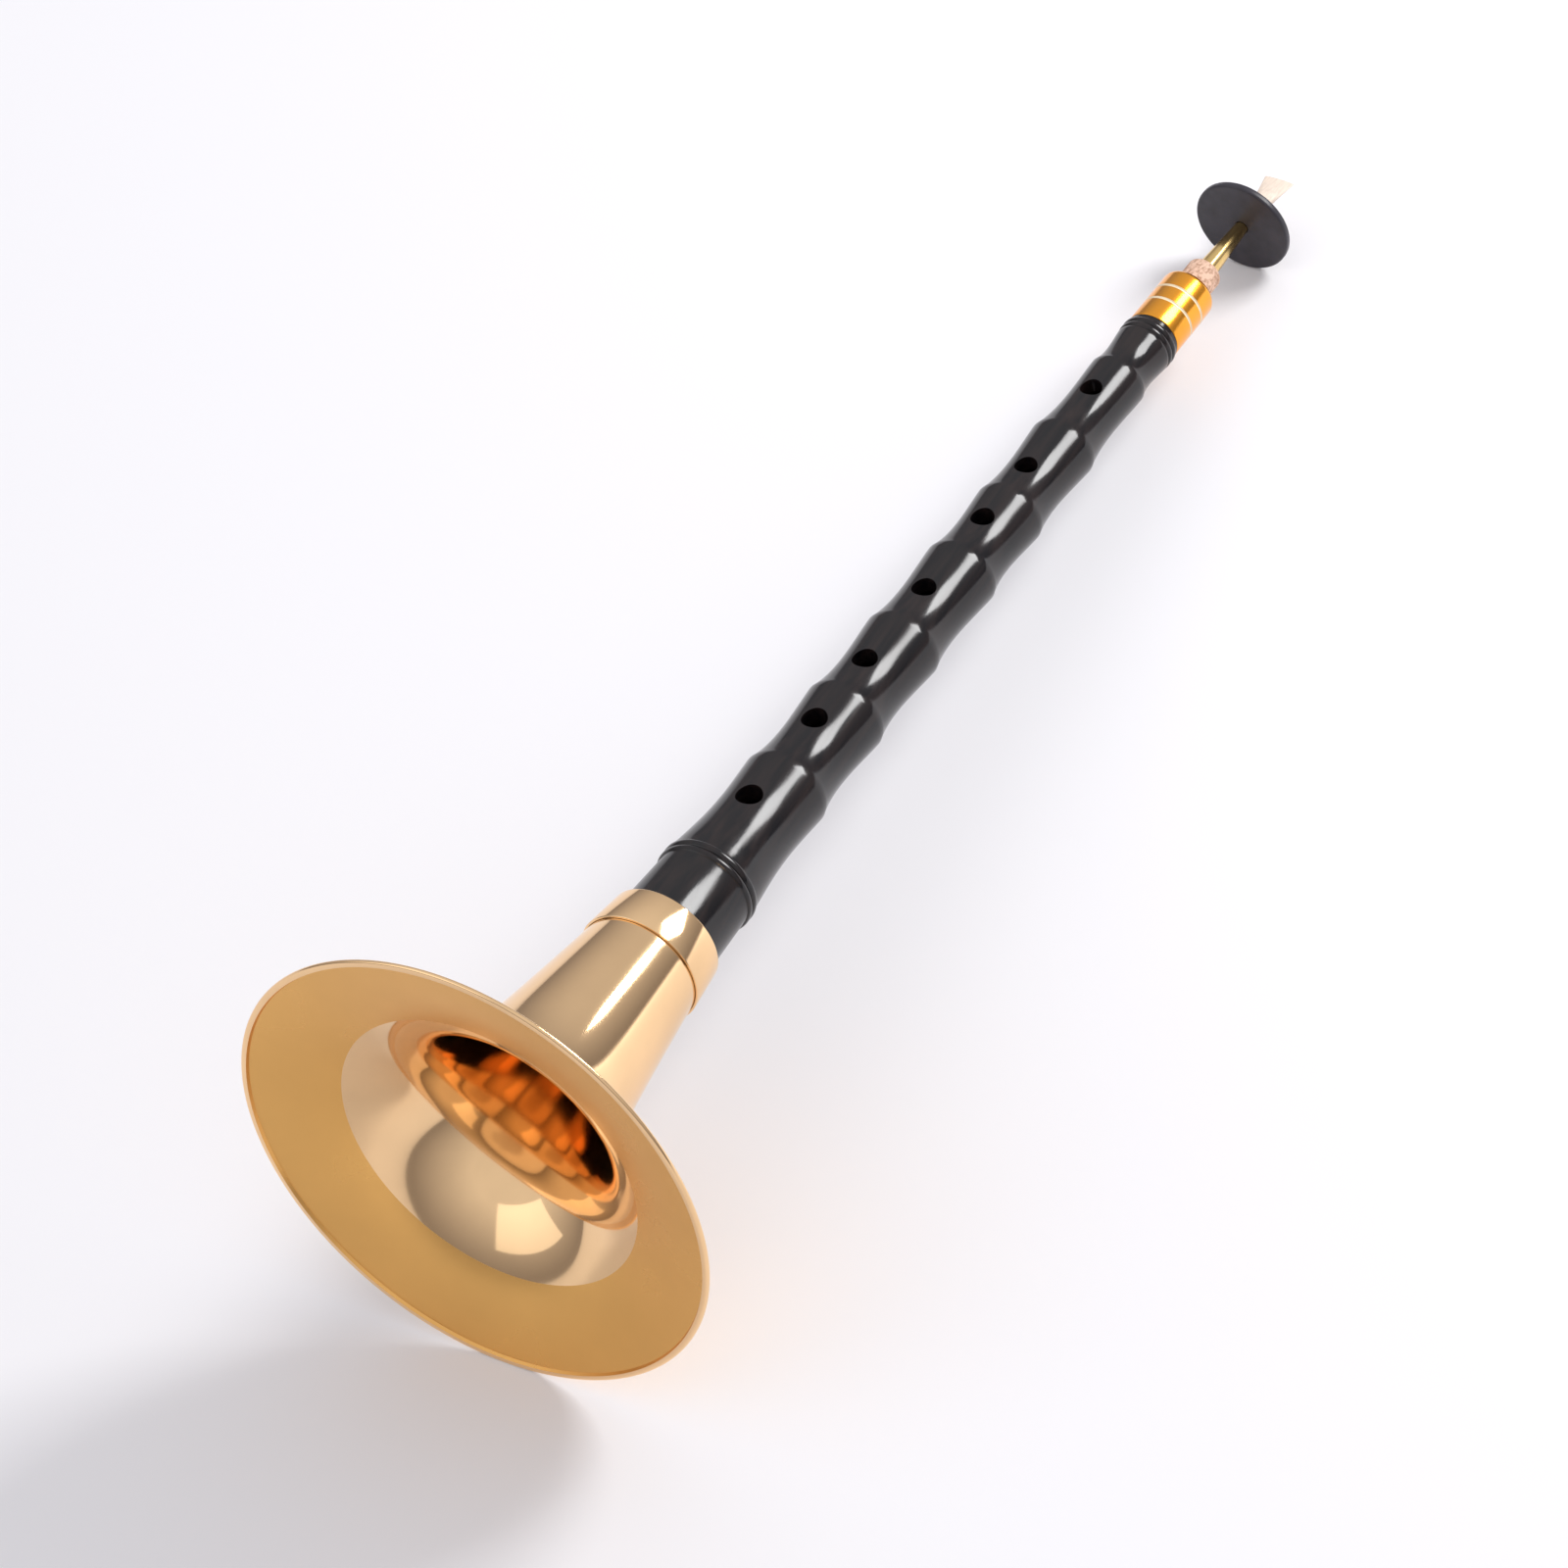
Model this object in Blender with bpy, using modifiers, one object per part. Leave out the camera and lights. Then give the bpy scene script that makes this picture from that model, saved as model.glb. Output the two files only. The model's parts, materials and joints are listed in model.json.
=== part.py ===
"""A small suona, lying on its bell rim and its lip disc as it would on a table.

Every piece is turned about one axis. Heights along that axis run from the bell's mouth (0) to the
reed's tip. One empty holds the axis: it leans so that the rim and the disc both touch the table.
"""

import math

import bmesh
import bpy
from mathutils import Matrix, Vector

MM = 0.001

# Bell: sheet brass with a rolled rim, and a ferrule over its neck
RIM_RADIUS = 60.0 * MM
RIM_ROLL = 0.6 * MM
RIM_FLAT = 0.9 * MM
BELL_SHEET = 0.7 * MM
NECK_HEIGHT = 81.3 * MM
FERRULE_LENGTH = 10.9 * MM
FERRULE_FOOT_RADIUS = 15.1 * MM
FERRULE_TOP_RADIUS = 14.05 * MM
FERRULE_SHEET = 0.5 * MM
FERRULE_PROUD = 0.9 * MM
# Below the ferrule the neck widens as a slow cone, and the flare opens from it towards the rim
NECK_TAPER = 0.13
FLARE_REACH = 7.5 * MM

# Pipe: turned blackwood with seven crests, a double bead, a double ring and a tenon
PIPE_LENGTH = 244.7 * MM
TENON_LENGTH = 24.3 * MM
TENON_RADIUS = 11.85 * MM
SHOULDER_RADIUS = 12.5 * MM
CREST_BELOW_TOP = 16.6 * MM
CREST_SPACINGS = (25.8 * MM, 24.6 * MM, 22.2 * MM, 26.6 * MM, 25.8 * MM, 26.3 * MM)
CREST_RADII = (7.27 * MM, 8.33 * MM, 8.65 * MM, 9.2 * MM, 9.62 * MM, 10.05 * MM, 10.67 * MM)
TOP_SCALLOP_DEPTH = 0.65 * MM
SCALLOP_DEPTH_HIGH = 0.92 * MM
SCALLOP_DEPTH_LOW = 1.2 * MM
FOOT_SCALLOP_DEPTH = 0.95 * MM
BEAD_ABOVE_NECK = 18.1 * MM
BEAD_RADIUS = 12.3 * MM
BEAD_FLANK_RADIUS = 11.75 * MM
BEAD_WIDTH = 1.9 * MM
TOP_RING_RADIUS = 7.15 * MM
TOP_RING_WIDTH = 1.6 * MM
TOP_RING_GROOVE = 0.35 * MM
BORE_TOP_RADIUS = 3.3 * MM
BORE_FOOT_RADIUS = 6.6 * MM
CORE_SOCKET_RADIUS = 5.0 * MM
CORE_SOCKET_DEPTH = 20.0 * MM
# Each finger hole lies in the scallop below its own crest
HOLES_BELOW_CREST = (10.9 * MM, 15.3 * MM, 10.6 * MM, 15.0 * MM, 14.9 * MM, 11.4 * MM, 13.6 * MM)
HOLE_RADIUS_HIGH = 2.7 * MM
HOLE_RADIUS_LOW = 3.2 * MM
THUMB_HOLE_BELOW_TOP = 36.0 * MM
THUMB_HOLE_RADIUS = 2.7 * MM
TENON_CORK_LENGTH = 17.0 * MM
TENON_CORK_BELOW_SHOULDER = 3.0 * MM

# Tuning core: a grooved head on a tube that slides in the pipe's top
HEAD_LENGTH = 17.7 * MM
HEAD_RADIUS = 6.72 * MM
HEAD_ROUNDING = 1.7 * MM
HEAD_GROOVES_ABOVE_FOOT = (6.5 * MM, 11.3 * MM)
HEAD_GROOVE_WIDTH = 0.5 * MM
HEAD_GROOVE_DEPTH = 0.25 * MM
HEAD_SOCKET_DEPTH = 13.4 * MM
HEAD_WEB = 1.0 * MM
CORE_TUBE_RADIUS = 4.2 * MM
CORE_TUBE_BORE = 3.3 * MM
CORE_TUBE_IN_PIPE = 18.0 * MM
CORE_CORK_LENGTH = 12.0 * MM
CORE_CORK_BELOW_HEAD = 3.5 * MM
CORE_TRAVEL = 10.0 * MM

# Staple: a tapering tube in a cork, with the lip disc on it and the reed at its tip
CORK_RADIUS = 4.28 * MM
CORK_FOOT_RADIUS = 4.1 * MM
CORK_LENGTH = 18.5 * MM
CORK_SHOWING = 7.5 * MM
CORK_ROUNDING = 0.9 * MM
STAPLE_BELOW_CORK = 1.9 * MM
STAPLE_LENGTH = 46.8 * MM
STAPLE_FOOT_RADIUS = 3.55 * MM
STAPLE_TIP_RADIUS = 1.2 * MM
STAPLE_WALL = 0.42 * MM
DISC_ABOVE_CORK = 17.3 * MM
DISC_RADIUS = 12.23 * MM
DISC_THICKNESS = 1.9 * MM
DISC_EDGE = 0.5 * MM
DISC_TRAVEL = 2.0 * MM

# Reed: two cane blades, round where they sit on the staple and flat at the tip
REED_LENGTH = 14.3 * MM
REED_NECK_LENGTH = 4.6 * MM
REED_NECK_RADIUS = 2.05 * MM
REED_TIP_WIDTH = 7.8 * MM
REED_TIP_THICKNESS = 0.95 * MM
REED_BLADE = 0.3 * MM
BINDING_ABOVE_REED_FOOT = 1.5 * MM
BINDING_WIRE = 0.25 * MM
BINDING_TURNS = 3

# Clearances
RUNNING_GAP = 0.12 * MM
SEAT_GAP = 0.3 * MM
CUT_BEYOND = 3.0 * MM

# Facets round each kind of piece
BELL_FACETS = 48
PIPE_FACETS = 32
SMALL_FACETS = 32
DISC_FACETS = 48
REED_FACETS = 24
FLARE_STEPS = 14
SCALLOP_STEPS = 6

# Heights along the axis that follow from the sizes above
PIPE_FOOT = NECK_HEIGHT - TENON_LENGTH
PIPE_TOP = PIPE_FOOT + PIPE_LENGTH
FERRULE_FOOT = NECK_HEIGHT - FERRULE_LENGTH
RIM_BACK = 2.0 * RIM_ROLL
BEAD_HEIGHT = NECK_HEIGHT + BEAD_ABOVE_NECK
HEAD_FOOT = PIPE_TOP + SEAT_GAP
HEAD_TOP = HEAD_FOOT + HEAD_LENGTH
HEAD_SOCKET_FLOOR = HEAD_TOP - HEAD_SOCKET_DEPTH
CORE_TUBE_FOOT = PIPE_TOP - CORE_TUBE_IN_PIPE
CORK_TOP = HEAD_TOP + CORK_SHOWING
CORK_FOOT = CORK_TOP - CORK_LENGTH
STAPLE_FOOT = CORK_FOOT - STAPLE_BELOW_CORK
STAPLE_TIP = STAPLE_FOOT + STAPLE_LENGTH
DISC_FACE = CORK_TOP + DISC_ABOVE_CORK
DISC_BACK = DISC_FACE + DISC_THICKNESS
REED_FOOT = DISC_BACK + DISC_TRAVEL + SEAT_GAP
REED_TIP = REED_FOOT + REED_LENGTH
CREST_HEIGHTS = tuple(
    PIPE_TOP - CREST_BELOW_TOP - sum(CREST_SPACINGS[:count]) for count in range(len(CREST_RADII))
)

# How it lies: the flat facets under the rim and under the disc touch the table
RIM_REACH = RIM_RADIUS * math.cos(math.pi / BELL_FACETS)
DISC_REACH = DISC_RADIUS * math.cos(math.pi / DISC_FACETS)


def make_material(name, colour, roughness, metallic):
    material = bpy.data.materials.new(name)
    material.use_nodes = True
    shader = material.node_tree.nodes["Principled BSDF"]
    shader.inputs["Base Color"].default_value = (*colour, 1.0)
    shader.inputs["Roughness"].default_value = roughness
    shader.inputs["Metallic"].default_value = metallic
    return material


def clear_scene():
    for item in list(bpy.data.objects):
        bpy.data.objects.remove(item)


def make_collections():
    parts = bpy.data.collections.new("suona")
    cutters = bpy.data.collections.new("suona_cutters")
    for group in (parts, cutters):
        bpy.context.scene.collection.children.link(group)
    cutters.hide_render = True
    return parts, cutters


def make_axis(parts):
    """The empty whose local Z is the suona's axis, from the mouth to the reed."""
    roll_height = RIM_ROLL
    run = DISC_BACK - DISC_EDGE - roll_height
    drop = (RIM_REACH - RIM_ROLL) - (DISC_REACH - DISC_EDGE)
    lean = math.atan2(drop, run) + math.asin((RIM_ROLL - DISC_EDGE) / math.hypot(run, drop))
    height = (RIM_REACH - RIM_ROLL) * math.cos(lean) + RIM_ROLL + roll_height * math.sin(lean)
    low_end = -(RIM_REACH - RIM_ROLL) * math.sin(lean) + RIM_ROLL * (math.cos(lean) - 1.0)
    high_end = REED_TIP * math.cos(lean) + REED_TIP_THICKNESS / 2.0 * math.sin(lean)
    axis = bpy.data.objects.new("suona_axis", None)
    axis.location = (-(low_end + high_end) / 2.0, 0.0, height)
    axis.rotation_euler = (0.0, math.pi / 2.0 + lean, 0.0)
    parts.objects.link(axis)
    return axis


def arc(centre_radius, centre_height, size, start, end, steps):
    """Points on a round corner of an outline, from one angle to another in degrees."""
    points = []
    for step in range(steps + 1):
        angle = math.radians(start + (end - start) * step / steps)
        points.append(
            (centre_radius + size * math.cos(angle), centre_height + size * math.sin(angle))
        )
    return points


def offset_inwards(points, thickness):
    """The same curve, moved towards the axis and the mouth by a sheet's thickness."""
    moved = []
    for index, (radius, height) in enumerate(points):
        before = Vector(points[max(index - 1, 0)])
        after = Vector(points[min(index + 1, len(points) - 1)])
        along = (after - before).normalized()
        moved.append((radius + along.y * thickness, height - along.x * thickness))
    return moved


def turned(name, outline, facets, material, axis, parts, half_step=False):
    """A piece turned about the axis. Its outline runs down the outside and back up the bore."""
    mesh = bpy.data.meshes.new(name)
    count = len(outline)
    mesh.from_pydata(
        [(radius, 0.0, height) for radius, height in outline],
        [(index, (index + 1) % count) for index in range(count)],
        [],
    )
    piece = bpy.data.objects.new(name, mesh)
    parts.objects.link(piece)
    piece.parent = axis
    if half_step:
        piece.rotation_euler.z = math.pi / facets
    screw = piece.modifiers.new("Turn", "SCREW")
    screw.axis = "Z"
    screw.angle = 2.0 * math.pi
    screw.steps = facets
    screw.render_steps = facets
    screw.merge_threshold = 0.00001
    screw.use_smooth_shade = True
    mesh.materials.append(material)
    return piece


def neck_radius(height):
    """The bell neck's outer radius: under the ferrule, and in line with the flare below it."""
    top_radius = FERRULE_TOP_RADIUS - FERRULE_SHEET - RUNNING_GAP
    foot_radius = FERRULE_FOOT_RADIUS - FERRULE_SHEET - RUNNING_GAP
    share = (height - FERRULE_FOOT) / FERRULE_LENGTH
    return foot_radius + (top_radius - foot_radius) * share


def flare_radius(height):
    """The bell's outer radius below the ferrule: a slow cone, and a curve that opens to the rim."""
    foot = neck_radius(FERRULE_FOOT)
    cone = NECK_TAPER * (FERRULE_FOOT - height)
    rim_cone = NECK_TAPER * (FERRULE_FOOT - RIM_BACK)
    spread = RIM_RADIUS - RIM_ROLL - foot - rim_cone
    return foot + cone + spread * math.exp(-(height - RIM_BACK) / FLARE_REACH)


def make_bell(material, axis, parts):
    neck_end = NECK_HEIGHT - FERRULE_PROUD
    back = [(neck_radius(neck_end), neck_end), (neck_radius(FERRULE_FOOT), FERRULE_FOOT)]
    for step in range(1, FLARE_STEPS + 1):
        left = (1.0 - step / FLARE_STEPS) ** 2
        height = RIM_BACK + (FERRULE_FOOT - RIM_BACK) * left
        back.append((flare_radius(height), height))
    inside = offset_inwards(back, BELL_SHEET)
    roll = arc(RIM_RADIUS - RIM_ROLL, RIM_ROLL, RIM_ROLL, 90.0, -90.0, 4)[1:]
    flat_end = (RIM_RADIUS - RIM_ROLL - RIM_FLAT, 0.0)
    inside = [point for point in inside if point[0] < flat_end[0] - RIM_FLAT]
    outline = [*back, *roll, flat_end, *reversed(inside)]
    return turned("bell", outline, BELL_FACETS, material, axis, parts, half_step=True)


def make_ferrule(material, axis, parts):
    outline = [
        (FERRULE_TOP_RADIUS, NECK_HEIGHT),
        (FERRULE_FOOT_RADIUS, FERRULE_FOOT),
        (FERRULE_FOOT_RADIUS - FERRULE_SHEET, FERRULE_FOOT),
        (FERRULE_TOP_RADIUS - FERRULE_SHEET, NECK_HEIGHT),
    ]
    return turned("bell_ferrule", outline, BELL_FACETS, material, axis, parts, half_step=True)


def bore_radius(height):
    """The pipe's conical bore, which widens evenly from the core socket to the foot."""
    share = (height - PIPE_FOOT) / (PIPE_LENGTH - CORE_SOCKET_DEPTH)
    return BORE_FOOT_RADIUS + (BORE_TOP_RADIUS - BORE_FOOT_RADIUS) * share


def scallop(low, high, depth, lean):
    """The hollow between two rings, without its lower end: a lean over 1 keeps it under the upper."""
    points = []
    for step in range(SCALLOP_STEPS):
        share = step / SCALLOP_STEPS
        radius = high[0] + (low[0] - high[0]) * share
        hollow = depth * math.sin(math.pi * (1.0 - (1.0 - share) ** lean)) ** 1.3
        points.append((radius - hollow, high[1] + (low[1] - high[1]) * share))
    return points


def ring_pair(radius, height, width, groove):
    """Two half-round rings side by side, the upper first, as points down the outside."""
    points = []
    for centre in (height + width / 2.0, height - width / 2.0):
        for angle in (70.0, 0.0, -70.0):
            turn = math.radians(angle)
            points.append(
                (radius - groove * (1.0 - math.cos(turn)), centre + width / 2.0 * math.sin(turn))
            )
    return points


def pipe_outside():
    """The pipe's outside from its top face to its foot."""
    ring_height = PIPE_TOP - 1.6 * TOP_RING_WIDTH
    points = [
        (CORE_SOCKET_RADIUS, PIPE_TOP),
        (TOP_RING_RADIUS - TOP_RING_GROOVE, PIPE_TOP),
        *ring_pair(TOP_RING_RADIUS, ring_height, TOP_RING_WIDTH, TOP_RING_GROOVE),
    ]
    above = (TOP_RING_RADIUS - TOP_RING_GROOVE / 2.0, ring_height - 1.3 * TOP_RING_WIDTH)
    depth = TOP_SCALLOP_DEPTH
    count = len(CREST_RADII)
    for index, crest in enumerate(zip(CREST_RADII, CREST_HEIGHTS)):
        points += scallop(crest, above, depth, 1.25)
        above = crest
        share = index / (count - 1)
        depth = SCALLOP_DEPTH_HIGH + (SCALLOP_DEPTH_LOW - SCALLOP_DEPTH_HIGH) * share
    flank = (BEAD_FLANK_RADIUS, BEAD_HEIGHT + 1.3 * BEAD_WIDTH)
    points += scallop(flank, above, FOOT_SCALLOP_DEPTH, 1.0)
    points.append(flank)
    groove = BEAD_RADIUS - BEAD_FLANK_RADIUS
    points += ring_pair(BEAD_RADIUS, BEAD_HEIGHT, BEAD_WIDTH, groove)
    points.append((BEAD_FLANK_RADIUS, BEAD_HEIGHT - 1.3 * BEAD_WIDTH))
    points.append((SHOULDER_RADIUS, NECK_HEIGHT))
    points.append((TENON_RADIUS, NECK_HEIGHT))
    points.append((TENON_RADIUS, PIPE_FOOT))
    return points


def pipe_radius(height):
    """The pipe's outer radius at a height, read between the points of its outline."""
    points = pipe_outside()[1:]
    for upper, lower in zip(points, points[1:]):
        if lower[1] <= height <= upper[1]:
            share = (upper[1] - height) / max(upper[1] - lower[1], 0.001 * MM)
            return upper[0] + (lower[0] - upper[0]) * share
    return TENON_RADIUS


def make_hole_cutter(name, radius, height, towards, axis, cutters):
    """A round cutter from the middle of the bore out through one side of the pipe."""
    reach = pipe_radius(height) + CUT_BEYOND
    mesh = bpy.data.meshes.new(name)
    shape = bmesh.new()
    bmesh.ops.create_cone(
        shape, cap_ends=True, segments=20, radius1=radius, radius2=radius, depth=reach
    )
    place = Matrix.Translation((towards * reach / 2.0, 0.0, height))
    shape.transform(place @ Matrix.Rotation(math.pi / 2.0, 4, "Y"))
    shape.to_mesh(mesh)
    shape.free()
    cutter = bpy.data.objects.new(name, mesh)
    cutter.parent = axis
    cutter.hide_render = True
    cutter.display_type = "WIRE"
    cutters.objects.link(cutter)
    return cutter


def make_pipe(material, axis, parts, cutters):
    socket_floor = PIPE_TOP - CORE_SOCKET_DEPTH
    outline = [
        *pipe_outside(),
        (BORE_FOOT_RADIUS, PIPE_FOOT),
        (bore_radius(socket_floor), socket_floor),
        (CORE_SOCKET_RADIUS, socket_floor),
    ]
    pipe = turned("pipe", outline, PIPE_FACETS, material, axis, parts)
    last = len(HOLES_BELOW_CREST) - 1
    holes = []
    for index, (crest, below) in enumerate(zip(CREST_HEIGHTS, HOLES_BELOW_CREST)):
        radius = HOLE_RADIUS_HIGH + (HOLE_RADIUS_LOW - HOLE_RADIUS_HIGH) * index / last
        holes.append((f"finger_hole_{index + 1}", radius, crest - below, -1.0))
    holes.append(("thumb_hole", THUMB_HOLE_RADIUS, PIPE_TOP - THUMB_HOLE_BELOW_TOP, 1.0))
    for name, radius, height, towards in holes:
        cut = pipe.modifiers.new(name, "BOOLEAN")
        cut.operation = "DIFFERENCE"
        cut.solver = "EXACT"
        cut.object = make_hole_cutter(name, radius, height, towards, axis, cutters)
    return pipe


def make_sleeve(name, foot, length, inner, outer, material, axis, parts):
    """A plain ring of cork round a tenon or a tube."""
    outline = [(outer, foot + length), (outer, foot), (inner, foot), (inner, foot + length)]
    return turned(name, outline, SMALL_FACETS, material, axis, parts)


def make_tenon_cork(material, axis, parts):
    top = NECK_HEIGHT - TENON_CORK_BELOW_SHOULDER
    outer = neck_radius(NECK_HEIGHT) - BELL_SHEET - RUNNING_GAP
    foot = top - TENON_CORK_LENGTH
    inner = TENON_RADIUS + RUNNING_GAP
    return make_sleeve(
        "tenon_cork", foot, TENON_CORK_LENGTH, inner, outer, material, axis, parts
    )


def make_head(material, axis, parts):
    outline = arc(HEAD_RADIUS - HEAD_ROUNDING, HEAD_TOP - HEAD_ROUNDING, HEAD_ROUNDING, 90, 0, 4)
    for above in reversed(HEAD_GROOVES_ABOVE_FOOT):
        middle = HEAD_FOOT + above
        outline += [
            (HEAD_RADIUS, middle + HEAD_GROOVE_WIDTH / 2.0),
            (HEAD_RADIUS - HEAD_GROOVE_DEPTH, middle),
            (HEAD_RADIUS, middle - HEAD_GROOVE_WIDTH / 2.0),
        ]
    socket = CORK_RADIUS + RUNNING_GAP
    tube_seat = CORE_TUBE_RADIUS + RUNNING_GAP
    seat_top = HEAD_SOCKET_FLOOR - HEAD_WEB
    outline += [
        (HEAD_RADIUS, HEAD_FOOT),
        (tube_seat, HEAD_FOOT),
        (tube_seat, seat_top),
        (CORE_TUBE_BORE, seat_top),
        (CORE_TUBE_BORE, HEAD_SOCKET_FLOOR),
        (socket, HEAD_SOCKET_FLOOR),
        (socket, HEAD_TOP),
    ]
    return turned("tuning_head", outline, SMALL_FACETS, material, axis, parts)


def make_core_tube(material, axis, parts):
    top = HEAD_SOCKET_FLOOR - HEAD_WEB - RUNNING_GAP
    length = top - CORE_TUBE_FOOT
    return make_sleeve(
        "core_tube", CORE_TUBE_FOOT, length, CORE_TUBE_BORE, CORE_TUBE_RADIUS, material, axis, parts
    )


def make_core_cork(material, axis, parts):
    foot = HEAD_FOOT - CORE_CORK_BELOW_HEAD - CORE_CORK_LENGTH
    inner = CORE_TUBE_RADIUS + RUNNING_GAP
    outer = CORE_SOCKET_RADIUS - RUNNING_GAP
    return make_sleeve("core_cork", foot, CORE_CORK_LENGTH, inner, outer, material, axis, parts)


def staple_radius(height):
    """The staple's outer radius, which narrows evenly from its foot to its tip."""
    share = (height - STAPLE_FOOT) / STAPLE_LENGTH
    return STAPLE_FOOT_RADIUS + (STAPLE_TIP_RADIUS - STAPLE_FOOT_RADIUS) * share


def make_cork_sleeve(material, axis, parts):
    outline = arc(CORK_RADIUS - CORK_ROUNDING, CORK_TOP - CORK_ROUNDING, CORK_ROUNDING, 90, 0, 3)
    outline += [
        (CORK_RADIUS, HEAD_TOP),
        (CORK_FOOT_RADIUS, CORK_FOOT),
        (staple_radius(CORK_FOOT) + RUNNING_GAP, CORK_FOOT),
        (staple_radius(CORK_TOP) + RUNNING_GAP, CORK_TOP),
    ]
    return turned("staple_cork", outline, SMALL_FACETS, material, axis, parts)


def make_staple(material, axis, parts):
    outline = [
        (STAPLE_TIP_RADIUS, STAPLE_TIP),
        (STAPLE_FOOT_RADIUS, STAPLE_FOOT),
        (STAPLE_FOOT_RADIUS - STAPLE_WALL, STAPLE_FOOT),
        (STAPLE_TIP_RADIUS - STAPLE_WALL, STAPLE_TIP),
    ]
    return turned("staple", outline, REED_FACETS, material, axis, parts)


def make_lip_disc(material, axis, parts):
    rim = DISC_RADIUS - DISC_EDGE
    outline = [
        *arc(rim, DISC_BACK - DISC_EDGE, DISC_EDGE, 90, 0, 2),
        *arc(rim, DISC_FACE + DISC_EDGE, DISC_EDGE, 0, -90, 2),
        (staple_radius(DISC_FACE) + RUNNING_GAP, DISC_FACE),
        (staple_radius(DISC_BACK) + RUNNING_GAP, DISC_BACK),
    ]
    return turned("lip_disc", outline, DISC_FACETS, material, axis, parts, half_step=True)


def reed_section(share):
    """The reed's half width, half thickness and the two halves of its opening, foot to tip."""
    neck = REED_NECK_LENGTH / REED_LENGTH
    spread = max(0.0, (share - neck) / (1.0 - neck))
    flat = math.sin(spread * math.pi / 2.0)
    half_width = REED_NECK_RADIUS + (REED_TIP_WIDTH / 2.0 - REED_NECK_RADIUS) * spread
    half_thick = REED_NECK_RADIUS + (REED_TIP_THICKNESS / 2.0 - REED_NECK_RADIUS) * flat
    height = REED_FOOT + REED_LENGTH * share
    seat = staple_radius(REED_FOOT) + RUNNING_GAP
    open_wide = seat + (REED_TIP_WIDTH / 2.0 - 2.0 * REED_BLADE - seat) * spread
    open_thick = seat + (REED_TIP_THICKNESS / 2.0 - REED_BLADE - seat) * flat
    return height, half_width, half_thick, open_wide, open_thick


def make_reed(material, axis, parts):
    """Two blades with an open bore between them: rings of points, outside up and inside down."""
    neck = REED_NECK_LENGTH / REED_LENGTH
    shares = [0.0, neck] + [neck + (1.0 - neck) * step / 5.0 for step in range(1, 6)]
    sections = [reed_section(share) for share in shares]
    outside = [(height, wide, thick) for height, wide, thick, _, _ in sections]
    inside = [(height, wide, thick) for height, _, _, wide, thick in sections]
    shape = bmesh.new()
    rings = []
    for height, wide, thick in outside + inside[::-1]:
        ring = []
        for facet in range(REED_FACETS):
            angle = 2.0 * math.pi * facet / REED_FACETS
            place = (thick * math.cos(angle), wide * math.sin(angle), height)
            ring.append(shape.verts.new(place))
        rings.append(ring)
    for lower, upper in zip(rings, rings[1:] + rings[:1]):
        for facet in range(REED_FACETS):
            after = (facet + 1) % REED_FACETS
            shape.faces.new((lower[facet], lower[after], upper[after], upper[facet]))
    mesh = bpy.data.meshes.new("reed")
    shape.to_mesh(mesh)
    shape.free()
    mesh.shade_smooth()
    mesh.materials.append(material)
    reed = bpy.data.objects.new("reed", mesh)
    reed.parent = axis
    parts.objects.link(reed)
    return reed


def make_binding(material, axis, parts):
    """The turns of wire round the reed's neck, drawn as one ring with a bead for each turn."""
    inner = REED_NECK_RADIUS + RUNNING_GAP / 2.0
    foot = REED_FOOT + BINDING_ABOVE_REED_FOOT
    outline = []
    for turn in reversed(range(BINDING_TURNS)):
        middle = foot + BINDING_WIRE * (2 * turn + 1)
        outline += arc(inner + BINDING_WIRE, middle, BINDING_WIRE, 60, -60, 2)
    outline += [(inner, foot), (inner, foot + 2.0 * BINDING_WIRE * BINDING_TURNS)]
    return turned("reed_binding", outline, REED_FACETS, material, axis, parts)


def main():
    clear_scene()
    parts, cutters = make_collections()
    axis = make_axis(parts)
    gold = make_material("polished_gold_brass", (0.86, 0.52, 0.19), 0.14, 1.0)
    head_gold = make_material("lacquered_gold", (0.90, 0.47, 0.06), 0.22, 1.0)
    wood = make_material("black_wood", (0.012, 0.011, 0.013), 0.16, 0.0)
    cork = make_material("natural_cork", (0.62, 0.38, 0.26), 0.8, 0.0)
    brass = make_material("staple_brass", (0.80, 0.50, 0.16), 0.2, 1.0)
    disc = make_material("charcoal_horn", (0.06, 0.05, 0.065), 0.4, 0.0)
    cane = make_material("reed_cane", (0.80, 0.66, 0.55), 0.6, 0.0)
    copper = make_material("copper_wire", (0.72, 0.36, 0.20), 0.3, 1.0)
    make_bell(gold, axis, parts)
    make_ferrule(gold.copy(), axis, parts)
    make_pipe(wood, axis, parts, cutters)
    make_tenon_cork(cork, axis, parts)
    make_head(head_gold, axis, parts)
    make_core_tube(brass, axis, parts)
    make_core_cork(cork.copy(), axis, parts)
    make_cork_sleeve(cork.copy(), axis, parts)
    make_staple(brass.copy(), axis, parts)
    make_lip_disc(disc, axis, parts)
    make_reed(cane, axis, parts)
    make_binding(copper, axis, parts)


main()
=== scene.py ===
"""Dresses a suona: spun brass bell, turned blackwood pipe, cork, horn disc and cane reed."""

import json
import math

import bpy
from mathutils import Matrix, Vector


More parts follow.
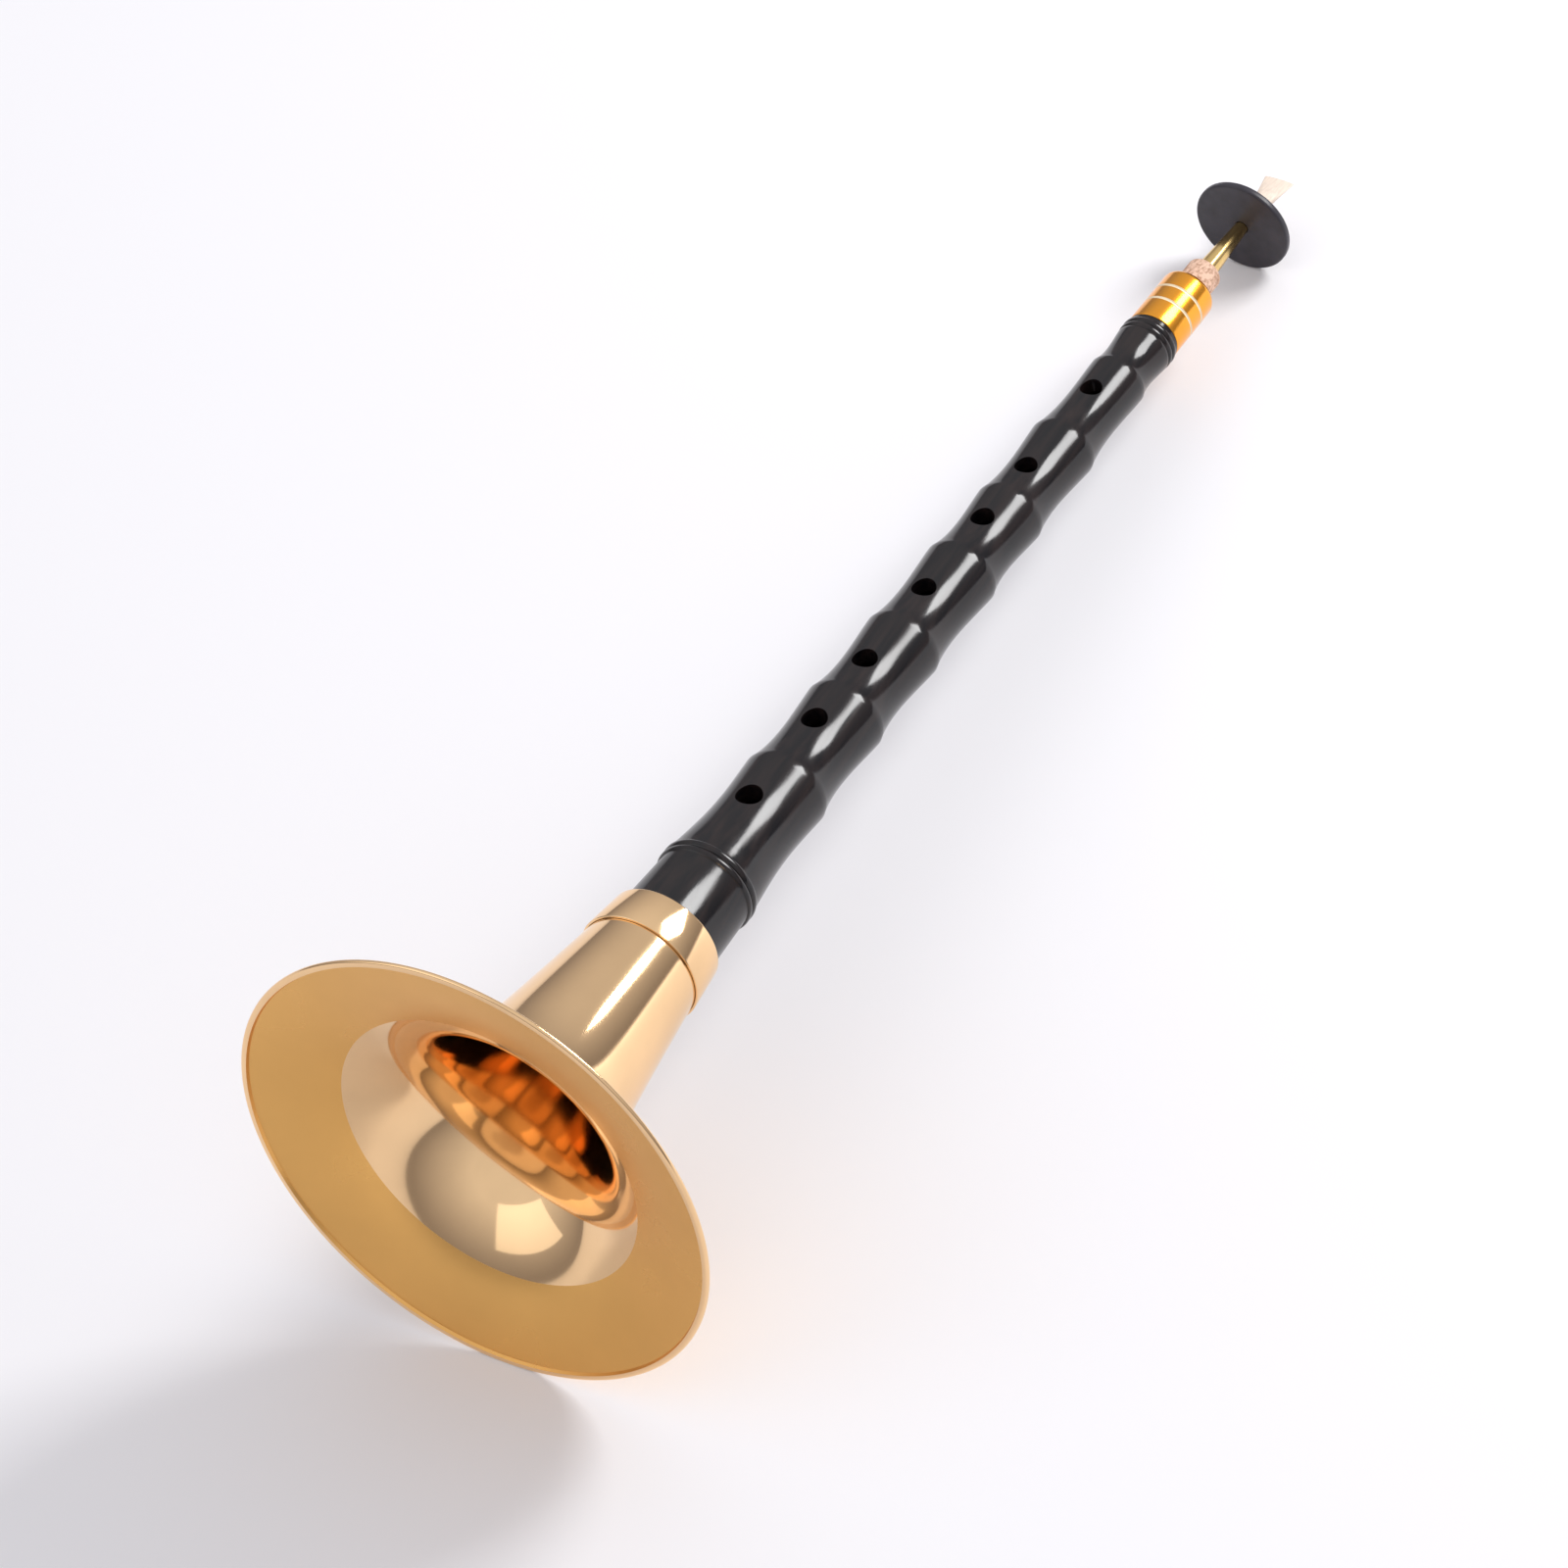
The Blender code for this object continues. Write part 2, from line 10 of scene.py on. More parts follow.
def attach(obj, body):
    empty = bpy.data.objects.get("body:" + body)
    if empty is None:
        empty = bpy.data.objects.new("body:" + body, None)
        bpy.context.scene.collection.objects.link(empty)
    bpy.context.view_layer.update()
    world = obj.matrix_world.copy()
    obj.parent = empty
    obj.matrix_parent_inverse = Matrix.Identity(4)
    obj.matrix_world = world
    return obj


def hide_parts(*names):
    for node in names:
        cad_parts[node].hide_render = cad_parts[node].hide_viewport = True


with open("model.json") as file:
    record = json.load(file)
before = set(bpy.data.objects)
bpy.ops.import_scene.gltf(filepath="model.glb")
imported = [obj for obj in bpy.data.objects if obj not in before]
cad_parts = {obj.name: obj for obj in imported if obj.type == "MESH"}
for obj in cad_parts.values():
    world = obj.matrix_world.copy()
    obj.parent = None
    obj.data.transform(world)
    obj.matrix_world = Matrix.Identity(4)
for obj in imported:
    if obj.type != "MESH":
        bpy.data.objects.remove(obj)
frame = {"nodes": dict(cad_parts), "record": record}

bl_info = {
    "name": "Suona",
    "version": (1, 0, 0),
    "blender": (4, 5, 0),
    "location": "3D View > Sidebar > Suona",
    "description": "Builds a suona and a pale studio round it",
    "category": "Add Mesh",
}

MM = 0.001
MERGE_DISTANCE = 0.01 * MM
SMOOTH_ANGLE = math.radians(38.0)

# The mount is on the rim's flat ring, on the side of the finger holes, and the axis starts mid-mouth
RIM_MOUNT = frame["record"]["mounts"][0]
RIM_MOUNT_RADIUS = 58.95 * MM
ALONG = -Vector(RIM_MOUNT["axis"]).normalized()
HOLE_SIDE = Vector((-ALONG.z, 0.0, ALONG.x))
ACROSS = Vector((0.0, 1.0, 0.0))
MOUTH = Vector(RIM_MOUNT["pos_m"]) - HOLE_SIDE * RIM_MOUNT_RADIUS

# Flat strips in one full turn
BELL_FACETS = 192
PIPE_FACETS = 128
CORK_FACETS = 96
SMALL_FACETS = 64
HOLE_FACETS = 48

# Heights along the axis, from the bell's mouth to the reed's tip
PIPE_FOOT = 57.0 * MM
FERRULE_FOOT = 70.4 * MM
BELL_TOP = 80.4 * MM
FERRULE_TOP = 81.3 * MM
BEAD_HEIGHT = 99.4 * MM
SOCKET_FLOOR = 281.7 * MM
PIPE_TOP = 301.7 * MM
HEAD_FOOT = 302.0 * MM
HEAD_FLOOR = 306.3 * MM
HEAD_GROOVES = (313.3 * MM, 308.5 * MM)
HEAD_TOP = 319.7 * MM
CORK_FOOT = 308.7 * MM
CORK_TOP = 327.2 * MM
STAPLE_FOOT = 306.8 * MM
STAPLE_LENGTH = 46.8 * MM
DISC_FACE = 344.5 * MM
DISC_BACK = 346.4 * MM
REED_FOOT = 348.7 * MM
REED_LENGTH = 14.3 * MM

# The bell and its ferrule
NECK_FOOT_RADIUS = 14.48 * MM
NECK_TOP_RADIUS = 13.43 * MM
BELL_TAPER = 0.13
FLARE_STEPS = 70
RIM_FACE = 0.9 * MM
RIM_FACE_GAP = 0.3 * MM
FERRULE_FOOT_RADIUS = 15.1 * MM
FERRULE_TOP_RADIUS = 14.05 * MM
FERRULE_WALL = 0.5 * MM
FERRULE_LIP = 0.5 * MM
FERRULE_LIP_RADIUS = 12.62 * MM
EDGE_ROUNDING = 0.3 * MM

# The pipe's crests, from the top one down, with the finger hole below each and the hollows between
CREST_HEIGHTS = tuple(h * MM for h in (285.1, 259.3, 234.7, 212.5, 185.9, 160.1, 133.8))
CREST_RADII = tuple(r * MM for r in (7.27, 8.33, 8.65, 9.2, 9.62, 10.05, 10.67))
HOLES_BELOW_CREST = tuple(b * MM for b in (10.9, 15.3, 10.6, 15.0, 14.9, 11.4, 13.6))
THUMB_HOLE_BELOW_TOP = 36.0 * MM
DRILL_LENGTH = 16.0 * MM
TOP_SCALLOP = 0.65 * MM
SECOND_SCALLOP = 0.92 * MM
BEAD_SCALLOP = 0.95 * MM
SCALLOP_STEPS = 22
SCALLOP_POWER = 1.15
SCALLOP_LEAN = 0.72
EVEN_LEAN = 1.0

# The pipe's ends, rings and bore
PIPE_TOP_RADIUS = 6.75 * MM
TOP_RING_RADIUS = 7.15 * MM
BELOW_RINGS_RADIUS = 7.0 * MM
RING_WIDTH = 1.6 * MM
RING_GROOVE = 0.42 * MM
BEAD_RADIUS = 12.3 * MM
BEAD_FLANK_RADIUS = 11.75 * MM
BEAD_WIDTH = 1.9 * MM
BEAD_GROOVE = 0.55 * MM
SHOULDER_RADIUS = 12.5 * MM
SHOULDER_GAP = 0.1 * MM
TENON_RADIUS = 11.85 * MM
BORE_FOOT_RADIUS = 6.6 * MM
BORE_TOP_RADIUS = 3.3 * MM
SOCKET_RADIUS = 5.0 * MM

# In ring widths: from the pipe's top to the middle of its two rings, and from a pair's middle to its foot
RINGS_BELOW_TOP = 1.6
RINGS_REACH = 1.3

# The tuning head, and the cork, staple and disc above it
HEAD_ROUNDING = 1.7 * MM
HEAD_FLOOR_WALL = 1.0 * MM
GROOVE_SIZE = 0.4 * MM
GROOVE_OUTSET = 0.12 * MM
GROOVE_LINE_DEPTH = 0.03 * MM
TUBE_SEAT_RADIUS = 4.32 * MM
CORK_SEAT_RADIUS = 4.4 * MM
CORK_FOOT_RADIUS = 4.1 * MM
CORK_ROUNDING = 0.9 * MM
STAPLE_FOOT_RADIUS = 3.55 * MM
STAPLE_TIP_RADIUS = 1.2 * MM
STAPLE_WALL = 0.42 * MM
STAPLE_GAP = 0.12 * MM
DISC_ROUNDING = 0.6 * MM

# The reed and the wire round its neck
REED_NECK_RADIUS = 2.05 * MM
REED_NECK_SHARE = 0.32
REED_TIP_HALF = 0.475 * MM
REED_STEPS = 24
WIRE_RADIUS = 0.25 * MM
WIRE_TURNS = 3
WIRE_GAP = 0.06 * MM
WIRE_ABOVE_FOOT = 1.5 * MM

# The streaks and specks in the finishes
BROAD_SCALE = 1.0
BROAD_DETAIL = 4.0
FINE_SCALE = 5.0
FINE_DETAIL = 2.0
NOISE_MIDDLE = 0.55
RELIEF_HEIGHT = 0.1 * MM
COAT_ROUGHNESS = 0.06
WOOD_GLOSS = 0.45

# The studio: its floor, and where the surrounding's two colours begin, at the sides and overhead
FLOOR_SIZE = 12.0
FLOOR_ROUGHNESS = 0.6
SIDES = (0.05, (0.30, 0.29, 0.31, 1.0))
OVERHEAD = (0.75, (0.80, 0.80, 0.83, 1.0))

# Where the camera stands, which way it looks and how far it sees
CAMERA_PLACE = (-1.33857, -1.1619, 2.0339)
CAMERA_RIGHT = Vector((0.49028, -0.853, -0.17874))
CAMERA_UP = Vector((0.72085, 0.2816, 0.63328))
CAMERA_BACK = Vector((-0.48985, -0.4394, 0.75296))
CAMERA_LENS = 270.0
CAMERA_SENSOR = 36.0
CAMERA_REACH = 20.0


def length_value(name, default, words):
    return bpy.props.FloatProperty(
        name=name, default=default, subtype="DISTANCE", unit="LENGTH", precision=5, description=words
    )


def colour_value(name, default, words):
    return bpy.props.FloatVectorProperty(
        name=name, default=default, subtype="COLOR", size=3, min=0.0, max=1.0, description=words
    )


class SuonaSizes(bpy.types.PropertyGroup):
    rim_radius: length_value("Rim radius", 60.0 * MM, "Outer radius of the bell's rim")
    rim_roll: length_value("Rim roll", 0.6 * MM, "Radius of the rolled edge")
    flare_reach: length_value("Flare reach", 7.5 * MM, "How quickly the flare opens")
    sheet: length_value("Bell sheet", 0.7 * MM, "Thickness of the brass")
    satin_from: length_value("Satin from", 38.7 * MM, "Inner radius of the satin flange")
    scallop: length_value("Scallop depth", 1.2 * MM, "Depth that the scallops grow towards, down the pipe")
    top_hole: length_value("Top hole radius", 2.65 * MM, "Radius of the highest finger hole")
    foot_hole: length_value("Foot hole radius", 3.2 * MM, "Radius of the lowest finger hole")
    head_radius: length_value("Head radius", 6.72 * MM, "Radius of the tuning head")
    cork_radius: length_value("Cork radius", 4.28 * MM, "Radius of the staple's cork")
    disc_radius: length_value("Disc radius", 12.23 * MM, "Radius of the lip disc")
    reed_width: length_value("Reed width", 7.8 * MM, "Width of the reed's tip")


class SuonaColours(bpy.types.PropertyGroup):
    brass: colour_value("Brass", (0.95, 0.64, 0.35), "Polished brass")
    satin: colour_value("Satin brass", (0.88, 0.49, 0.15), "Brushed flange")
    lacquer: colour_value("Lacquered head", (0.98, 0.40, 0.03), "Lacquered tuning head")
    staple: colour_value("Staple brass", (0.86, 0.60, 0.24), "Drawn brass tube")
    wood: colour_value("Blackwood", (0.004, 0.0035, 0.0045), "Body of the pipe")
    grain: colour_value("Wood grain", (0.018, 0.011, 0.010), "Brown grain of the pipe")
    cork: colour_value("Cork", (0.78, 0.52, 0.38), "Cut cork")
    pits: colour_value("Cork pits", (0.40, 0.22, 0.14), "Dark pits in the cork")
    horn: colour_value("Disc", (0.030, 0.026, 0.036), "Lip disc")
    cane: colour_value("Cane", (0.86, 0.72, 0.60), "Scraped cane")
    cream: colour_value("Groove", (0.96, 0.82, 0.60), "Pale lines in the tuning head")
    floor: colour_value("Floor", (0.88, 0.87, 0.89), "Studio floor")


def sizes():
    return bpy.context.scene.suona_sizes


def colours():
    return bpy.context.scene.suona_colours


def at_axis(radius, height):
    """The point of a turned outline, drawn on the pipe's side."""
    return MOUTH + ACROSS * radius + ALONG * height


def height_and_radius(point):
    """How far along the axis a point lies, and how far out from it."""
    height = (point - MOUTH).dot(ALONG)
    return height, (point - MOUTH - ALONG * height).length


def turn_outline(name, outline, facets):
    """Draws a closed outline point by point and spins it about the suona's axis."""
    bpy.ops.object.select_all(action="DESELECT")
    bpy.ops.mesh.primitive_plane_add(size=MM, location=at_axis(*outline[0]))
    piece = bpy.context.object
    piece.name = name
    piece.data.name = name
    bpy.ops.object.transform_apply(location=True, rotation=True, scale=True)
    bpy.ops.object.mode_set(mode="EDIT")
    bpy.ops.mesh.select_all(action="SELECT")
    bpy.ops.mesh.merge(type="CENTER")
    bpy.ops.mesh.select_all(action="SELECT")
    for before, after in zip(outline, outline[1:] + outline[:1]):
        step = at_axis(*after) - at_axis(*before)
        bpy.ops.mesh.extrude_region_move(TRANSFORM_OT_translate={"value": step})
    bpy.ops.mesh.select_all(action="SELECT")
    bpy.ops.mesh.remove_doubles(threshold=MERGE_DISTANCE)
    bpy.ops.mesh.spin(steps=facets, angle=2.0 * math.pi, center=MOUTH, axis=ALONG)
    bpy.ops.mesh.select_all(action="SELECT")
    bpy.ops.mesh.remove_doubles(threshold=MERGE_DISTANCE)
    bpy.ops.mesh.normals_make_consistent(inside=False)
    bpy.ops.object.mode_set(mode="OBJECT")
    bpy.ops.object.shade_smooth_by_angle(angle=SMOOTH_ANGLE)
    return piece


def arc(radius, height, size, start, end, steps):
    """Points round a corner of an outline, between two angles in degrees."""
    turns = [math.radians(start + (end - start) * k / steps) for k in range(steps + 1)]
    return [(radius + size * math.cos(t), height + size * math.sin(t)) for t in turns]


def place(piece, body, material, slot, *nodes):
    """Puts a piece on its body in place of the nodes that it stands for."""
    piece.data.materials.append(material)
    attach(piece, body)
    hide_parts(*nodes)


def grain_group():
    """A mask and a height from two sizes of noise, stretched along the pipe by its inputs."""
    found = bpy.data.node_groups.get("streaks_and_specks")
    if found:
        return found
    group = bpy.data.node_groups.new("streaks_and_specks", "ShaderNodeTree")
    for name, value in (("Along", 200.0), ("Across", 200.0), ("Contrast", 0.2)):
        socket = group.interface.new_socket(name, in_out="INPUT", socket_type="NodeSocketFloat")
        socket.default_value = value
    for name in ("Mask", "Height"):
        group.interface.new_socket(name, in_out="OUTPUT", socket_type="NodeSocketFloat")
    add, link = group.nodes.new, group.links.new
    source, result = add("NodeGroupInput"), add("NodeGroupOutput")
    coordinates, scale = add("ShaderNodeTexCoord"), add("ShaderNodeCombineXYZ")
    stretch, broad, fine = add("ShaderNodeMapping"), add("ShaderNodeTexNoise"), add("ShaderNodeTexNoise")
    link(source.outputs["Along"], scale.inputs["X"])
    link(source.outputs["Across"], scale.inputs["Y"])
    link(source.outputs["Across"], scale.inputs["Z"])
    link(coordinates.outputs["Object"], stretch.inputs["Vector"])
    link(scale.outputs["Vector"], stretch.inputs["Scale"])
    for noise, size, detail in ((broad, BROAD_SCALE, BROAD_DETAIL), (fine, FINE_SCALE, FINE_DETAIL)):
        noise.inputs["Scale"].default_value = size
        noise.inputs["Detail"].default_value = detail
        link(stretch.outputs["Vector"], noise.inputs["Vector"])
    low, high = add("ShaderNodeMath"), add("ShaderNodeMath")
    for limit, operation in ((low, "SUBTRACT"), (high, "ADD")):
        limit.operation = operation
        limit.inputs[0].default_value = NOISE_MIDDLE
        link(source.outputs["Contrast"], limit.inputs[1])
    spread = add("ShaderNodeMapRange")
    link(broad.outputs["Fac"], spread.inputs["Value"])
    link(low.outputs[0], spread.inputs["From Min"])
    link(high.outputs[0], spread.inputs["From Max"])
    link(spread.outputs["Result"], result.inputs["Mask"])
    link(fine.outputs["Fac"], result.inputs["Height"])
    return group


def finish(name, main, second, rough, metallic, along, across, contrast=0.2, bump=0.0, coat=0.0):
    """A finish whose colour and roughness vary by the shared streaks and specks."""
    material = bpy.data.materials.get(name)
    if material:
        return material
    material = bpy.data.materials.new(name)
    material.use_nodes = True
    nodes, link = material.node_tree.nodes, material.node_tree.links.new
    shader = nodes["Principled BSDF"]
    pattern = nodes.new("ShaderNodeGroup")
    pattern.node_tree = grain_group()
    pattern.inputs["Along"].default_value = along
    pattern.inputs["Across"].default_value = across
    pattern.inputs["Contrast"].default_value = contrast
    blend = nodes.new("ShaderNodeMix")
    blend.data_type = "RGBA"
    blend.inputs["A"].default_value = (*main, 1.0)
    blend.inputs["B"].default_value = (*second, 1.0)
    link(pattern.outputs["Mask"], blend.inputs["Factor"])
    link(blend.outputs["Result"], shader.inputs["Base Color"])
    dull = nodes.new("ShaderNodeMapRange")
    dull.inputs["To Min"].default_value, dull.inputs["To Max"].default_value = rough
    link(pattern.outputs["Mask"], dull.inputs["Value"])
    link(dull.outputs["Result"], shader.inputs["Roughness"])
    shader.inputs["Metallic"].default_value = metallic
    shader.inputs["Coat Weight"].default_value = coat
    shader.inputs["Coat Roughness"].default_value = COAT_ROUGHNESS
    if bump:
        relief = nodes.new("ShaderNodeBump")
        relief.inputs["Strength"].default_value = bump
        relief.inputs["Distance"].default_value = RELIEF_HEIGHT
        link(pattern.outputs["Height"], relief.inputs["Height"])
        link(relief.outputs["Normal"], shader.inputs["Normal"])
    return material


def darker(colour, share):
    return tuple(channel * share for channel in colour)


def polished_brass():
    brass = colours().brass
    return finish(
        "polished_brass", brass, darker(brass, 0.9),
        rough=(0.06, 0.11), metallic=1.0, along=40.0, across=60.0,
    )


def satin_brass():
    satin = colours().satin
    return finish(
        "satin_brass", satin, darker(satin, 0.9),
        rough=(0.27, 0.33), metallic=1.0, along=30.0, across=30.0,
    )


def lacquered_brass():
    lacquer = colours().lacquer
    return finish(
        "lacquered_brass", lacquer, darker(lacquer, 0.8),
        rough=(0.2, 0.25), metallic=1.0, along=40.0, across=40.0, coat=0.4,
    )


def cream_line():
    cream = colours().cream
    return finish(
        "cream_line", cream, darker(cream, 0.9),
        rough=(0.35, 0.45), metallic=0.2, along=200.0, across=200.0,
    )


def drawn_brass():
    brass = colours().staple
    return finish(
        "drawn_brass", brass, darker(brass, 0.75),
        rough=(0.14, 0.24), metallic=1.0, along=60.0, across=700.0, bump=0.05,
    )


def blackwood():
    material = finish(
        "blackwood", colours().wood, colours().grain,
        rough=(0.12, 0.2), metallic=0.0, along=25.0, across=600.0, contrast=0.18, bump=0.05,
    )
    material.node_tree.nodes["Principled BSDF"].inputs["Specular IOR Level"].default_value = WOOD_GLOSS
    return material


def cut_cork():
    return finish(
        "cut_cork", colours().cork, colours().pits,
        rough=(0.7, 0.9), metallic=0.0, along=900.0, across=1300.0, contrast=0.12, bump=0.9,
    )


def satin_horn():
    horn = colours().horn
    return finish(
        "satin_horn", horn, darker(horn, 0.6),
        rough=(0.32, 0.45), metallic=0.0, along=250.0, across=250.0, bump=0.1,
    )


def scraped_cane():
    cane = colours().cane
    return finish(
        "scraped_cane", cane, darker(cane, 0.8),
        rough=(0.5, 0.65), metallic=0.0, along=60.0, across=1800.0, bump=0.3,
    )


def neck_radius(height):
    """Outer radius of the bell's neck, which fits inside the ferrule."""
    share = (height - FERRULE_FOOT) / (FERRULE_TOP - FERRULE_FOOT)
    return NECK_FOOT_RADIUS + (NECK_TOP_RADIUS - NECK_FOOT_RADIUS) * share


def flare_radius(height):
    """Outer radius of the bell below the ferrule: a slow cone and a curve that opens to the rim."""
    back = 2.0 * sizes().rim_roll
    foot = neck_radius(FERRULE_FOOT)
    spread = sizes().rim_radius - sizes().rim_roll - foot - BELL_TAPER * (FERRULE_FOOT - back)
    opened = spread * math.exp(-(height - back) / sizes().flare_reach)
    return foot + BELL_TAPER * (FERRULE_FOOT - height) + opened


def inner_side(points, thickness):
    """The same curve on the other side of the sheet."""
    moved = []
    for index, (radius, height) in enumerate(points):
        before = Vector(points[max(index - 1, 0)])
        after = Vector(points[min(index + 1, len(points) - 1)])
        along = (after - before).normalized()
        moved.append((radius + along.y * thickness, height - along.x * thickness))
    return moved


class SUONA_OT_bell(bpy.types.Operator):
    """Spins the bell from sheet brass, with a rolled rim and a satin flange"""

    bl_idname = "suona.bell"
    bl_label = "Bell"

    def execute(self, context):
        size = sizes()
        back_height = 2.0 * size.rim_roll
        back = [(neck_radius(BELL_TOP), BELL_TOP), (neck_radius(FERRULE_FOOT), FERRULE_FOOT)]
        for step in range(1, FLARE_STEPS + 1):
            height = back_height + (FERRULE_FOOT - back_height) * (1.0 - step / FLARE_STEPS) ** 2
            back.append((flare_radius(height), height))
        lip = size.rim_radius - size.rim_roll - RIM_FACE
        inside = [p for p in inner_side(back, size.sheet) if p[0] < lip - RIM_FACE_GAP]
        roll = arc(size.rim_radius - size.rim_roll, size.rim_roll, size.rim_roll, 90, -90, 12)[1:]
        piece = turn_outline("bell_spun", [*back, *roll, (lip, 0.0), *reversed(inside)], BELL_FACETS)
        place(piece, "bell", polished_brass(), "polished_gold_brass", "bell")
        piece.data.materials.append(satin_brass())
        for face in piece.data.polygons:
            away = height_and_radius(face.center)[1]
            faces_out = face.normal.dot(ALONG) < 0.0
            if faces_out and size.satin_from < away < lip:
                face.material_index = 1
        return {"FINISHED"}


class SUONA_OT_ferrule(bpy.types.Operator):
    """Turns the ferrule over the bell's neck"""

    bl_idname = "suona.ferrule"
    bl_label = "Ferrule"

    def execute(self, context):
        edge = EDGE_ROUNDING
        outline = [
            *arc(FERRULE_TOP_RADIUS - edge, FERRULE_TOP - edge, edge, 90, 0, 4),
            *arc(FERRULE_FOOT_RADIUS - edge, FERRULE_FOOT + edge, edge, 0, -90, 4),
            (FERRULE_FOOT_RADIUS - FERRULE_WALL, FERRULE_FOOT),
            (FERRULE_TOP_RADIUS - FERRULE_WALL, FERRULE_TOP - FERRULE_LIP),
            (FERRULE_LIP_RADIUS, FERRULE_TOP - FERRULE_LIP),
            (FERRULE_LIP_RADIUS, FERRULE_TOP),
        ]
        piece = turn_outline("ferrule_turned", outline, PIPE_FACETS)
        place(piece, "bell", polished_brass(), "polished_gold_brass", "bell_ferrule")
        return {"FINISHED"}


def scallop(low, high, depth, lean):
    """The hollow from the upper ring to the lower one: a lean under 1 is deepest nearer the lower."""
    points = []
    for step in range(SCALLOP_STEPS):
        share = step / SCALLOP_STEPS
        hollow = depth * math.sin(math.pi * (1.0 - share) ** lean) ** SCALLOP_POWER if step else 0.0
        points.append((high[0] + (low[0] - high[0]) * share - hollow, high[1] + (low[1] - high[1]) * share))
    return points


def ring_pair(radius, height, width, groove):
    """Two half-round rings with a groove between them."""
    points = []
    for middle in (height + width / 2.0, height - width / 2.0):
        for angle in range(80, -81, -20):
            turn = math.radians(angle)
            out = radius - groove * (1.0 - math.cos(turn))
            points.append((out, middle + width / 2.0 * math.sin(turn)))
    return points


def pipe_outline():
    """From the pipe's top down the outside to the tenon's foot, and back up the bore."""
    ring_height = PIPE_TOP - RINGS_BELOW_TOP * RING_WIDTH
    points = [(SOCKET_RADIUS, PIPE_TOP), (PIPE_TOP_RADIUS, PIPE_TOP)]
    points += ring_pair(TOP_RING_RADIUS, ring_height, RING_WIDTH, RING_GROOVE)
    above = (BELOW_RINGS_RADIUS, ring_height - RINGS_REACH * RING_WIDTH)
    depth = TOP_SCALLOP
    for index, crest in enumerate(zip(CREST_RADII, CREST_HEIGHTS)):
        points += scallop(crest, above, depth, SCALLOP_LEAN)
        above = crest
        depth = SECOND_SCALLOP + (sizes().scallop - SECOND_SCALLOP) * index / (len(CREST_RADII) - 1)
    flank = (BEAD_FLANK_RADIUS, BEAD_HEIGHT + RINGS_REACH * BEAD_WIDTH)
    points += scallop(flank, above, BEAD_SCALLOP, EVEN_LEAN)
    points.append(flank)
    points += ring_pair(BEAD_RADIUS, BEAD_HEIGHT, BEAD_WIDTH, BEAD_GROOVE)
    points.append((BEAD_FLANK_RADIUS, BEAD_HEIGHT - RINGS_REACH * BEAD_WIDTH))
    shoulder = FERRULE_TOP + SHOULDER_GAP
    points += [(SHOULDER_RADIUS, shoulder), (TENON_RADIUS, shoulder), (TENON_RADIUS, PIPE_FOOT)]
    points += [(BORE_FOOT_RADIUS, PIPE_FOOT), (BORE_TOP_RADIUS, SOCKET_FLOOR), (SOCKET_RADIUS, SOCKET_FLOOR)]
    return points


def cut_hole(pipe, radius, height, side):
    """Drills one round hole from the bore out through one side of the pipe."""
    middle = MOUTH + ALONG * height + side * DRILL_LENGTH / 2.0
    bpy.ops.object.select_all(action="DESELECT")
    bpy.ops.mesh.primitive_cylinder_add(
        vertices=HOLE_FACETS, radius=radius, depth=DRILL_LENGTH, location=middle
    )
    drill = bpy.context.object
    drill.rotation_mode = "QUATERNION"
    drill.rotation_quaternion = side.to_track_quat("Z", "Y")
    bpy.context.view_layer.objects.active = pipe
    cut = pipe.modifiers.new("Drill", "BOOLEAN")
    cut.operation = "DIFFERENCE"
    cut.object = drill
    bpy.ops.object.modifier_apply(modifier=cut.name)
    bpy.data.objects.remove(drill)


class SUONA_OT_pipe(bpy.types.Operator):
    """Turns the scalloped pipe and drills its finger holes and thumb hole"""

    bl_idname = "suona.pipe"
    bl_label = "Pipe"

    def execute(self, context):
        pipe = turn_outline("pipe_turned", pipe_outline(), PIPE_FACETS)
        last = len(HOLES_BELOW_CREST) - 1
        for index, (crest, below) in enumerate(zip(CREST_HEIGHTS, HOLES_BELOW_CREST)):
            radius = sizes().top_hole + (sizes().foot_hole - sizes().top_hole) * index / last
            cut_hole(pipe, radius, crest - below, HOLE_SIDE)
        cut_hole(pipe, sizes().top_hole, PIPE_TOP - THUMB_HOLE_BELOW_TOP, -HOLE_SIDE)
        bpy.ops.object.select_all(action="DESELECT")
        pipe.select_set(True)
        bpy.context.view_layer.objects.active = pipe
        bpy.ops.object.shade_smooth_by_angle(angle=SMOOTH_ANGLE)
        place(pipe, "pipe", blackwood(), "black_wood", "pipe")
        return {"FINISHED"}


